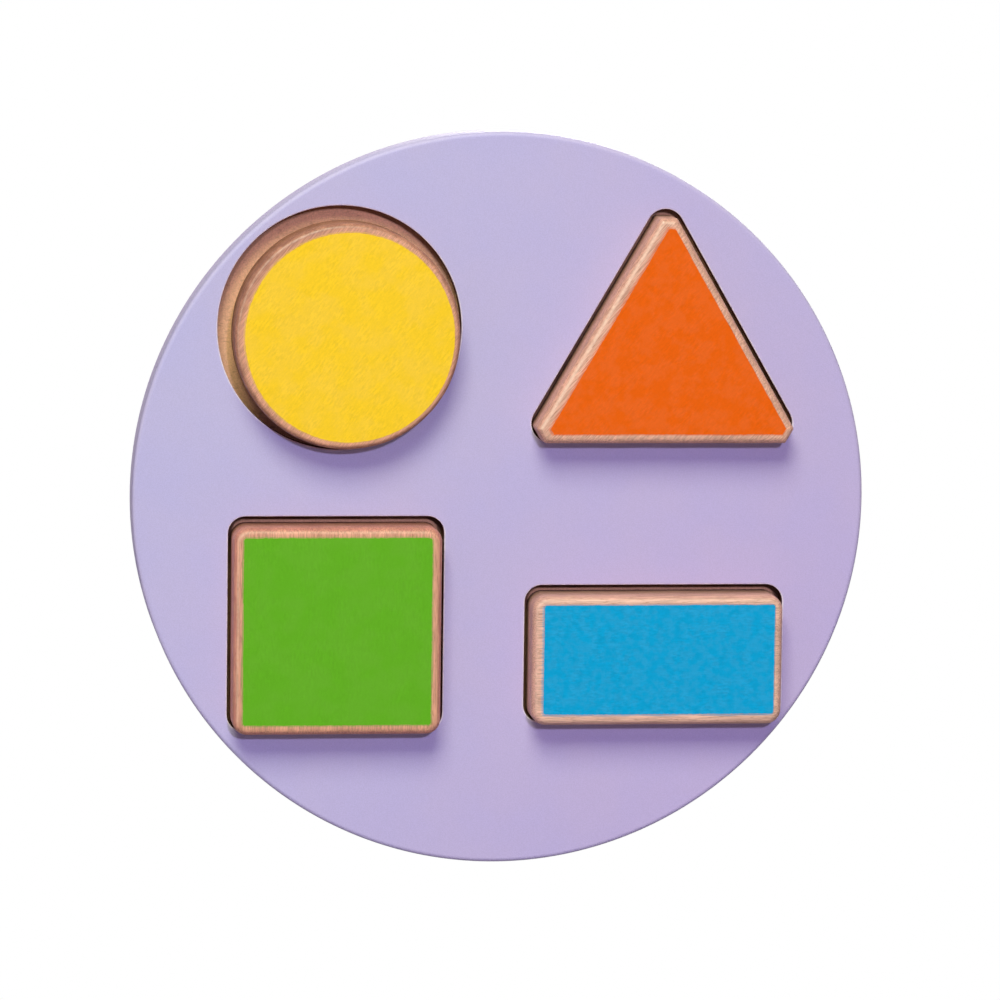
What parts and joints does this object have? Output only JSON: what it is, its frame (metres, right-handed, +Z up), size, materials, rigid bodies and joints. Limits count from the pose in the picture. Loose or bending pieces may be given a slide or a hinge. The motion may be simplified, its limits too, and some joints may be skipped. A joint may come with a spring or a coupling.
{
  "type": "sensory wall panel",
  "caption": "Round lilac wall panel with shallow pockets that hold loose coloured wooden shape blocks, which lift out against hidden magnets; keyhole hangers are let into the back.",
  "frame": {"origin": "centre of the panel's back face, which lies against the wall", "axes": "+Z up, +X to the right seen from the front, +Y into the wall; the blocks face -Y"},
  "size_m": [0.2542, 0.0273, 0.2542],
  "materials": {
    "lilac_lacquer": "satin lacquer on fibreboard",
    "raw_fibreboard": "raw, sawn and drilled",
    "bare_beech": "sanded bare",
    "yellow_stain": "satin stain",
    "orange_stain": "satin stain",
    "green_stain": "satin stain",
    "blue_stain": "satin stain",
    "zinc_steel": "zinc plated",
    "nickel_magnet": "nickel plated"
  },
  "bodies": {
    "panel": {"face_panel": "lilac_lacquer", "back_board": "raw_fibreboard", "left_hanger": "zinc_steel", "right_hanger": "zinc_steel", "left_hanger_screw_top": "zinc_steel", "left_hanger_screw_bottom": "zinc_steel", "right_hanger_screw_top": "zinc_steel", "right_hanger_screw_bottom": "zinc_steel", "board_screw_top": "zinc_steel", "board_screw_bottom": "zinc_steel", "board_screw_left": "zinc_steel", "board_screw_right": "zinc_steel", "board_screw_upper_web": "zinc_steel", "board_screw_lower_web": "zinc_steel", "disc_board_magnet": "nickel_magnet", "triangle_board_magnet": "nickel_magnet", "square_board_magnet": "nickel_magnet", "rectangle_board_magnet": "nickel_magnet", "disc_board_plug": "bare_beech", "triangle_board_plug": "bare_beech", "square_board_plug": "bare_beech", "rectangle_board_plug": "bare_beech"},
    "disc": {"disc_block": "bare_beech", "disc_veneer": "yellow_stain", "disc_block_magnet": "nickel_magnet", "disc_block_plug": "bare_beech"},
    "triangle": {"triangle_block": "bare_beech", "triangle_veneer": "orange_stain", "triangle_block_magnet": "nickel_magnet", "triangle_block_plug": "bare_beech"},
    "square": {"square_block": "bare_beech", "square_veneer": "green_stain", "square_block_magnet": "nickel_magnet", "square_block_plug": "bare_beech"},
    "rectangle": {"rectangle_block": "bare_beech", "rectangle_veneer": "blue_stain", "rectangle_block_magnet": "nickel_magnet", "rectangle_block_plug": "bare_beech"}
  },
  "joints": [
    {"name": "disc_lift", "type": "slide", "parent": "panel", "child": "disc", "axis": [0, -1, 0], "range_m": [0, 0.06]},
    {"name": "triangle_lift", "type": "slide", "parent": "panel", "child": "triangle", "axis": [0, -1, 0], "range_m": [0, 0.06]},
    {"name": "square_lift", "type": "slide", "parent": "panel", "child": "square", "axis": [0, -1, 0], "range_m": [0, 0.06]},
    {"name": "rectangle_lift", "type": "slide", "parent": "panel", "child": "rectangle", "axis": [0, -1, 0], "range_m": [0, 0.06]}
  ]
}
